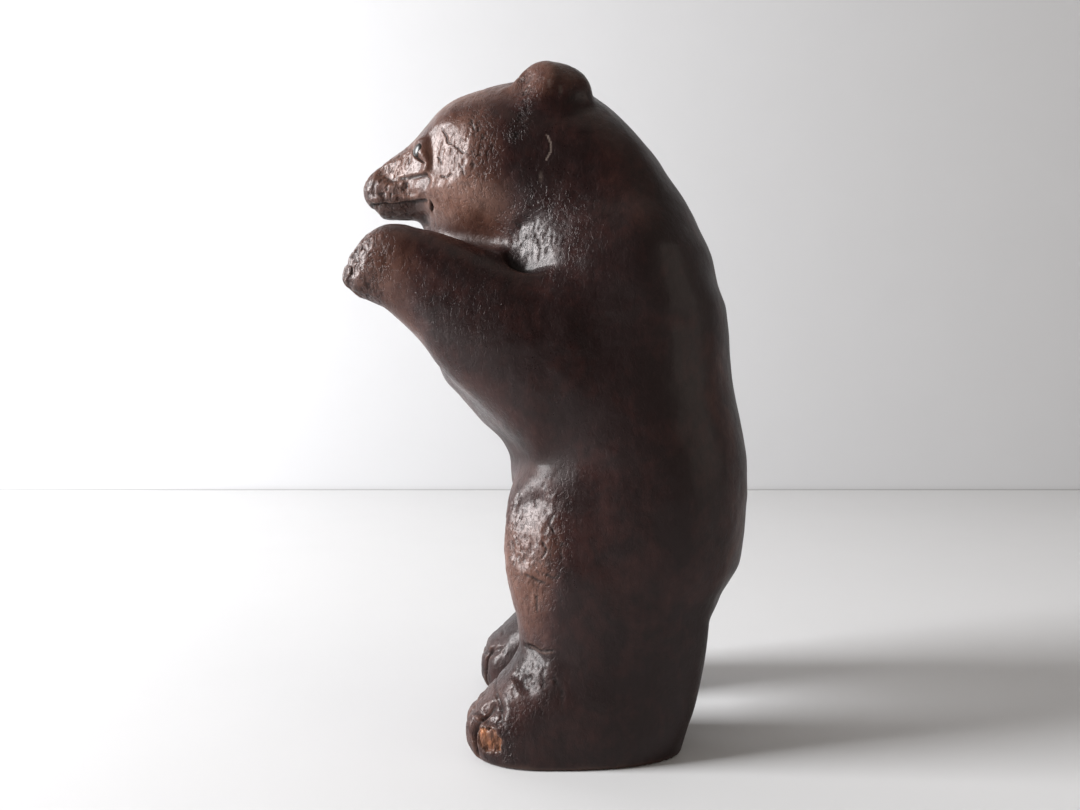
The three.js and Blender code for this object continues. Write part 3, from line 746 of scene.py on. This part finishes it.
# how much each point stands proud of its neighbours, or lies below them
edges, _ = edges_of(tris)
mean = np.zeros_like(skin)
deg = np.zeros(len(skin))
for a, b in ((0, 1), (1, 0)):
    for k in range(3):
        mean[:, k] += np.bincount(edges[:, a], skin[edges[:, b], k], len(skin))
    deg += np.bincount(edges[:, a], minlength=len(skin))
mean /= deg[:, None]
span = np.linalg.norm(skin[edges[:, 0]] - skin[edges[:, 1]], axis=1)
length = (np.bincount(edges[:, 0], span, len(skin)) + np.bincount(edges[:, 1], span, len(skin))) / deg
proud = ((skin - mean) * normal).sum(1) / np.maximum(length, 0.2)
for _ in range(2):
    near = (np.bincount(edges[:, 0], proud[edges[:, 1]], len(skin)) + np.bincount(edges[:, 1], proud[edges[:, 0]], len(skin))) / deg
    proud = 0.5 * proud + 0.5 * near
print("carved mesh:", len(skin), "vertices,", len(tris), "triangles")


# ------------------------------------------------------------------ materials
class Nodes:
    def __init__(self, name):
        self.mat = bpy.data.materials.new(name)
        self.mat.use_nodes = True
        self.tree = self.mat.node_tree
        self.tree.nodes.clear()
        self.out = self.tree.nodes.new("ShaderNodeOutputMaterial")
        self.shader = self.tree.nodes.new("ShaderNodeBsdfPrincipled")
        self.tree.links.new(self.shader.outputs[0], self.out.inputs[0])

    def put(self, socket, value):
        if isinstance(value, bpy.types.NodeSocket):
            self.tree.links.new(value, socket)
        elif value is not None:
            socket.default_value = value

    def node(self, kind, out=0, props=(), **inputs):
        n = self.tree.nodes.new(kind)
        for k, v in dict(props).items():
            setattr(n, k, v)
        for k, v in inputs.items():
            self.put(n.inputs[int(k[1:])] if k[1:].isdigit() else n.inputs[k.replace("_", " ")], v)
        return n.outputs[out]

    def place(self, scale, offset=(0, 0, 0), turn=(0, 0, 0)):
        c = self.node("ShaderNodeTexCoord", 3)
        return self.node("ShaderNodeMapping", 0, Vector=c, Location=offset, Rotation=turn, Scale=scale)

    def noise(self, vector, scale, detail=3.0, rough=0.55, out=0, distortion=0.0):
        return self.node("ShaderNodeTexNoise", out, Vector=vector, Scale=scale, Detail=detail, Roughness=rough, Distortion=distortion)

    def ramp(self, fac, *stops, mode="LINEAR"):
        n = self.tree.nodes.new("ShaderNodeValToRGB")
        n.color_ramp.interpolation = mode
        e = n.color_ramp.elements
        while len(e) < len(stops):
            e.new(0.5)
        for el, (at, col) in zip(e, stops):
            el.position = at
            el.color = (*col, 1) if isinstance(col, tuple) else (col, col, col, 1)
        self.put(n.inputs[0], fac)
        return n.outputs[0]

    def maths(self, op, a, b=None, c=None, clamp=False):
        return self.node("ShaderNodeMath", 0, {"operation": op, "use_clamp": clamp}, _0=a, _1=b, _2=c)

    def mix(self, fac, a, b, blend="MIX"):
        n = self.tree.nodes.new("ShaderNodeMix")
        n.data_type = "RGBA"
        n.blend_type = blend
        self.put(n.inputs[0], fac)
        for s, v in ((n.inputs[6], a), (n.inputs[7], b)):
            self.put(s, (*v, 1) if isinstance(v, tuple) and len(v) == 3 else v)
        return n.outputs[2]

    def attribute(self, name):
        return self.node("ShaderNodeAttribute", 2, {"attribute_name": name})

    def bump(self, height, strength, distance, normal=None):
        return self.node("ShaderNodeBump", 0, Strength=strength, Distance=distance, Height=height, Normal=normal)

    def set(self, **values):
        for k, v in values.items():
            s = self.shader.inputs[k.replace("_", " ")]
            self.put(s, (*v, 1) if isinstance(v, tuple) and len(v) == 3 else v)
        return self.mat


def lacquered(name, shift):
    """Dark stained wood under worn lacquer."""
    m = Nodes(name)
    here = m.place((1, 1, 1), shift)
    mottle = m.noise(here, 62, 4, 0.62, distortion=0.5)
    patch = m.noise(m.place((1, 1, 0.7), shift), 230, 3, 0.6)
    streak = m.noise(m.place((1, 1, 0.14), shift), 520, 3, 0.6)
    hollows_and_shade, wear = m.attribute("hollows_and_shade"), m.attribute("wear")
    raw, fresh = m.attribute("raw"), m.attribute("fresh")
    brown_wear_and_painted_light, nicks, matte = m.attribute("brown_wear_and_painted_light"), m.attribute("nicks"), m.attribute("matte")

    tone = m.maths("ADD", m.maths("MULTIPLY", m.maths("SUBTRACT", mottle, 0.5), 1.5),
                   m.maths("MULTIPLY", m.maths("SUBTRACT", patch, 0.5), 0.9))
    tone = m.maths("ADD", m.maths("MULTIPLY", tone, 0.55), brown_wear_and_painted_light)
    base = m.ramp(tone, (0.0, (0.0150, 0.0066, 0.0064)), (0.22, (0.0310, 0.0112, 0.0098)),
                  (0.50, (0.0660, 0.0270, 0.0195)), (0.80, (0.1180, 0.0540, 0.0380)), (1.0, (0.1700, 0.0850, 0.0620)))
    base = m.mix(0.22, base, m.ramp(streak, (0.35, (0.45, 0.42, 0.41)), (0.62, (1.0, 1.0, 1.0))), "MULTIPLY")
    long = m.noise(m.place((1, 1, 0.62), shift), 700, 2, 0.55, distortion=0.6)
    dash = m.ramp(long, (0.36, 1.0), (0.44, 0.0))
    speck = m.ramp(m.noise(m.place((1, 1, 0.8), (0.3, 0.1, 0.2)), 1050, 1, 0.5), (0.33, 1.0), (0.42, 0.0))
    dash = m.maths("MAXIMUM", dash, m.maths("MULTIPLY", speck, 0.7))
    dash = m.maths("MULTIPLY", dash, m.maths("ADD", m.maths("MULTIPLY", nicks, 0.92), 0.05, clamp=True))
    hollows_and_shade = m.maths("MAXIMUM", hollows_and_shade, m.maths("MULTIPLY", dash, 0.75))
    # near black in the hollows, nicks and darkened marks, painted shade among them
    base = m.mix(m.maths("MULTIPLY", hollows_and_shade, 0.80), base, (0.0080, 0.0050, 0.0045))
    base = m.mix(m.maths("MULTIPLY", wear, 0.28), base, (0.170, 0.095, 0.068))
    fibre = m.noise(m.place((1, 1, 0.25)), 1000, 3, 0.65)
    dull = m.ramp(fibre, (0.30, (0.030, 0.014, 0.009)), (0.50, (0.110, 0.042, 0.022)), (0.68, (0.230, 0.105, 0.056)))
    bright = m.ramp(fibre, (0.30, (0.100, 0.032, 0.013)), (0.50, (0.340, 0.120, 0.048)), (0.68, (0.600, 0.310, 0.160)))
    base = m.mix(raw, base, m.mix(fresh, dull, bright))
    # painted highlight: a pale colour along the scratches on the neck and ear
    base = m.mix(m.maths("MULTIPLY", m.attribute("scratch_highlight"), 0.85), base, (0.330, 0.255, 0.215))

    satin = m.maths("ADD", m.maths("MULTIPLY", m.noise(here, 180, 3, 0.6), 0.55), m.maths("MULTIPLY", m.noise(here, 1100, 3, 0.6), 0.45))
    rough = m.ramp(satin, (0.36, 0.25), (0.64, 0.47))
    rough = m.mix(m.maths("MULTIPLY", matte, 0.6), rough, (0.66, 0.66, 0.66))
    rough = m.mix(m.maths("MULTIPLY", hollows_and_shade, 0.75), rough, (0.80, 0.80, 0.80))
    rough = m.mix(raw, rough, (0.72, 0.72, 0.72))

    soft = m.noise(here, 150, 2, 0.5)
    grit = m.maths("MULTIPLY", m.noise(here, 1250, 2, 0.6), m.maths("ADD", m.maths("MULTIPLY", nicks, 0.70), 0.30, clamp=True))
    n = m.bump(soft, 0.25, 0.0016)
    n = m.bump(dash, 0.75, -0.00045, n)
    n = m.bump(grit, 0.50, 0.00022, n)
    m.set(Base_Color=base, Roughness=rough, Normal=n)
    m.shader.inputs["Specular IOR Level"].default_value = 0.27
    m.shader.inputs["Specular Tint"].default_value = (1.0, 0.90, 0.88, 1)
    m.shader.inputs["Coat Weight"].default_value = 0.15
    m.shader.inputs["Coat Roughness"].default_value = 0.22
    m.shader.inputs["IOR"].default_value = 1.5
    return m.mat


def glass():
    m = Nodes("eye_glass")
    here = m.place((1, 1, 1))
    m.set(Base_Color=m.ramp(m.noise(here, 900, 2), (0.4, (0.006, 0.004, 0.0035)), (0.7, (0.022, 0.011, 0.007))),
          Roughness=m.ramp(m.noise(here, 1500, 2), (0.3, 0.30), (0.7, 0.42)))
    m.shader.inputs["IOR"].default_value = 1.52
    m.shader.inputs["Coat Weight"].default_value = 0.10
    m.shader.inputs["Coat Roughness"].default_value = 0.20
    return m.mat


def beech():
    m = Nodes("dowel_wood")
    grain = m.noise(m.place((0.1, 1, 1)), 900, 4, 0.6)
    n = m.bump(grain, 0.3, 0.0002)
    m.set(Base_Color=m.ramp(grain, (0.35, (0.42, 0.25, 0.13)), (0.65, (0.62, 0.42, 0.25))),
          Roughness=m.ramp(grain, (0.3, 0.62), (0.7, 0.78)), Normal=n)
    return m.mat


# ------------------------------------------------------------------ the three boards
def whole_mesh():
    me = bpy.data.meshes.new("whole")
    pts = (skin + np.array([0, Y_ORIGIN, 0])) * 0.001
    me.vertices.add(len(pts))
    me.vertices.foreach_set("co", pts.astype(np.float32).ravel())
    me.loops.add(tris.size)
    me.loops.foreach_set("vertex_index", tris.astype(np.int32).ravel())
    me.polygons.add(len(tris))
    me.polygons.foreach_set("loop_start", np.arange(0, tris.size, 3, dtype=np.int32))
    me.update(calc_edges=True)
    me.validate()
    vn = np.zeros(len(pts) * 3, np.float32)
    me.vertices.foreach_get("normal", vn)
    a = me.attributes.new("skin_normal", "FLOAT_VECTOR", "POINT")
    a.data.foreach_set("vector", vn)
    values = dict(marks)
    # darker in the hollows and along the darkened marks, which include the painted shade under the jaw, in the muzzle
    # fold and in the fold under the belly
    values["hollows_and_shade"] = np.clip(np.clip(-proud * 9 - 0.15, 0, 1) + marks["dark_and_shade"], 0, 1)
    values["wear"] = np.clip(np.clip(proud * 8 - 0.25, 0, 1) + marks["light_line"], 0, 1)
    del values["light_line"], values["dark_and_shade"]
    for k, v in values.items():
        at = me.attributes.new(k, "FLOAT", "POINT")
        at.data.foreach_set("value", np.asarray(v, np.float32))
    return me


def board(name, whole, cuts, node, mat):
    bm = bmesh.new()
    bm.from_mesh(whole)
    for x, keep in cuts:
        geom = bm.verts[:] + bm.edges[:] + bm.faces[:]
        cut = bmesh.ops.bisect_plane(bm, geom=geom, dist=1e-7, plane_co=(x, 0, 0), plane_no=(1, 0, 0),
                                     clear_outer=keep < 0, clear_inner=keep > 0)
        rim = [e for e in cut["geom_cut"] if isinstance(e, bmesh.types.BMEdge)]
        bmesh.ops.holes_fill(bm, edges=rim, sides=0)
    bmesh.ops.triangulate(bm, faces=[f for f in bm.faces if len(f.verts) > 4])
    me = bpy.data.meshes.new(name)
    bm.to_mesh(me)
    bm.free()
    me.validate()
    # smooth shading runs on over the glue lines, and the sawn faces stay flat
    xs = [x for x, _ in cuts]
    nv, nl, nf = len(me.vertices), len(me.loops), len(me.polygons)
    co = np.zeros(nv * 3, np.float32)
    me.vertices.foreach_get("co", co)
    co = co.reshape(-1, 3)
    sn = np.zeros(nv * 3, np.float32)
    me.attributes["skin_normal"].data.foreach_get("vector", sn)
    sn = sn.reshape(-1, 3)
    lv = np.zeros(nl, np.int32)
    me.loops.foreach_get("vertex_index", lv)
    fn = np.zeros(nf * 3, np.float32)
    me.polygons.foreach_get("normal", fn)
    fn = fn.reshape(-1, 3)
    total = np.zeros(nf, np.int32)
    me.polygons.foreach_get("loop_total", total)
    face = np.repeat(np.arange(nf), total)
    centre = np.zeros(nf * 3, np.float32)
    me.polygons.foreach_get("center", centre)
    centre = centre.reshape(-1, 3)
    flat = np.zeros(nf, bool)
    for x in xs:
        flat |= (np.abs(centre[:, 0] - x) < 2e-6) & (np.abs(fn[:, 0]) > 0.99)
    normals = sn[lv]
    normals /= np.maximum(np.linalg.norm(normals, axis=1), 1e-9)[:, None]
    on = flat[face]
    normals[on] = fn[face][on]
    me.polygons.foreach_set("use_smooth", np.ones(nf, bool))
    me.normals_split_custom_set(normals.tolist())
    me.attributes.remove(me.attributes["skin_normal"])
    me.materials.append(mat)
    ob = bpy.data.objects.new(name, me)
    bpy.context.scene.collection.objects.link(ob)
    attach(ob, "root")
    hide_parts(node)
    print(name, nf, "faces,", int((total - 2).sum()), "triangles")
    return ob


HB = HALF_BOARD * 0.001
whole = whole_mesh()
board("carved_centre", whole, [(-HB, 1), (HB, -1)], "centre_board", lacquered("lacquered_wood_centre", (0, 0, 0)))
board("carved_left", whole, [(HB, 1)], "left_board", lacquered("lacquered_wood_left", (0, 0, 0)))
board("carved_right", whole, [(-HB, -1)], "right_board", lacquered("lacquered_wood_right", (0, 0, 0)))
bpy.data.meshes.remove(whole)


# ------------------------------------------------------------------ eyes and dowels
def bead(name, at, axis, node, mat):
    """A glass bead: a low dome on a short shank, turned about its axis."""
    prof = [(0.0, -1.8), (2.6, -1.8), (3.0, -1.4), (3.0, -0.1)]
    prof += [(3.0 * np.cos(t), 1.5 * np.sin(t)) for t in np.linspace(0, np.pi / 2, 15)[:-1]] + [(0.0, 1.5)]
    seg = 56
    u = Vector(axis)
    q = Vector((0, 0, 1)).rotation_difference(u)
    bm = bmesh.new()
    rings = []
    for r, h in prof:
        ring = []
        for k in range(seg if r > 0 else 1):
            a = 2 * np.pi * k / seg
            v = q @ Vector((r * np.cos(a), r * np.sin(a), h)) + Vector(at) + Vector((0, Y_ORIGIN, 0))
            ring.append(bm.verts.new(v * 0.001))
        rings.append(ring)
    for a, b in zip(rings, rings[1:]):
        for k in range(seg):
            j = (k + 1) % seg
            if len(a) == 1:
                bm.faces.new((a[0], b[j], b[k]))
            elif len(b) == 1:
                bm.faces.new((a[k], a[j], b[0]))
            else:
                bm.faces.new((a[k], a[j], b[j], b[k]))
    bmesh.ops.recalc_face_normals(bm, faces=bm.faces[:])
    me = bpy.data.meshes.new(name)
    bm.to_mesh(me)
    bm.free()
    me.polygons.foreach_set("use_smooth", np.ones(len(me.polygons), bool))
    me.materials.append(mat)
    ob = bpy.data.objects.new(name, me)
    bpy.context.scene.collection.objects.link(ob)
    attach(ob, "root")
    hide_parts(node)
    return ob


eye_mat = glass()
for s, node in ((1, "left_eye"), (-1, "right_eye")):
    at, axis = EYES[s]
    bead("bead_" + node, at, axis, node, eye_mat)
dowel_mat = beech()
for n in ("upper_dowel", "lower_dowel"):
    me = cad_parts[n].data
    me.materials.clear()
    me.materials.append(dowel_mat)


# ------------------------------------------------------------------ floor, backdrop, light, camera
def sheet(name, corners, mat):
    me = bpy.data.meshes.new(name)
    me.from_pydata(corners, [], [(0, 1, 2, 3)])
    me.materials.append(mat)
    ob = bpy.data.objects.new(name, me)
    bpy.context.scene.collection.objects.link(ob)
    return ob


def card(name, col):
    m = Nodes(name)
    grain = m.noise(m.place((1, 1, 1)), 14, 3, 0.5)
    m.set(Base_Color=m.mix(grain, tuple(c * 0.97 for c in col), col), Roughness=0.85)
    m.shader.inputs["Specular IOR Level"].default_value = 0.2
    return m.mat


WALL_X = -0.692
sheet("floor", [(WALL_X, -3, 0), (3, -3, 0), (3, 3, 0), (WALL_X, 3, 0)], card("floor_card", (0.69, 0.69, 0.695)))
# a thin grey strip at the foot of the backdrop: painted shade in the corner between floor and backdrop
sheet("gap_shade_strip", [(WALL_X + 0.002, -3, 0), (WALL_X + 0.002, 3, 0), (WALL_X + 0.002, 3, 0.0012), (WALL_X + 0.002, -3, 0.0012)], card("gap_shade_card", (0.42, 0.42, 0.42)))
sheet("backdrop", [(WALL_X, -3, 0), (WALL_X, 3, 0), (WALL_X, 3, 3), (WALL_X, -3, 3)], card("wall_card", (0.62, 0.62, 0.63)))


def lamp(name, at, aim, size, watts, col=(1, 1, 1)):
    data = bpy.data.lights.new(name, "AREA")
    data.shape = "RECTANGLE"
    data.size, data.size_y = size
    data.energy = watts
    data.color = col
    ob = bpy.data.objects.new(name, data)
    ob.location = at
    ob.rotation_mode = "QUATERNION"
    ob.rotation_quaternion = (Vector(aim) - Vector(at)).to_track_quat("-Z", "Y")
    bpy.context.scene.collection.objects.link(ob)
    return ob


lamp("window", (0.22, -1.50, 0.68), (0, 0, 0.12), (0.56, 1.12), 60, (0.985, 0.99, 1.0))
lamp("ceiling", (0.0, 0.2, 2.2), (0, 0, 0), (2.4, 2.4), 6.5, (1.0, 0.90, 0.80))
lamp("room", (0.5, 1.3, 0.5), (0, 0, 0.1), (0.9, 0.9), 3, (1.0, 0.93, 0.85))
world = bpy.data.worlds.new("room")
world.use_nodes = True
world.node_tree.nodes["Background"].inputs[0].default_value = (1.0, 0.93, 0.86, 1)
world.node_tree.nodes["Background"].inputs[1].default_value = 0.10
bpy.context.scene.world = world
bpy.context.scene.view_settings.view_transform = "Standard"
bpy.context.scene.view_settings.look = "None"

cam = bpy.data.cameras.new("camera")
cam.sensor_fit = "HORIZONTAL"
cam.sensor_width = 36.0
cam.lens = 29.1
cam.shift_y = -0.0278
cam.clip_start, cam.clip_end = 0.01, 20
eye = bpy.data.objects.new("camera", cam)
eye.matrix_world = Matrix(((0, 0, 1, 0.361), (1, 0, 0, -0.0043), (0, 1, 0, 0.1387), (0, 0, 0, 1)))
bpy.context.scene.collection.objects.link(eye)
bpy.context.scene.camera = eye
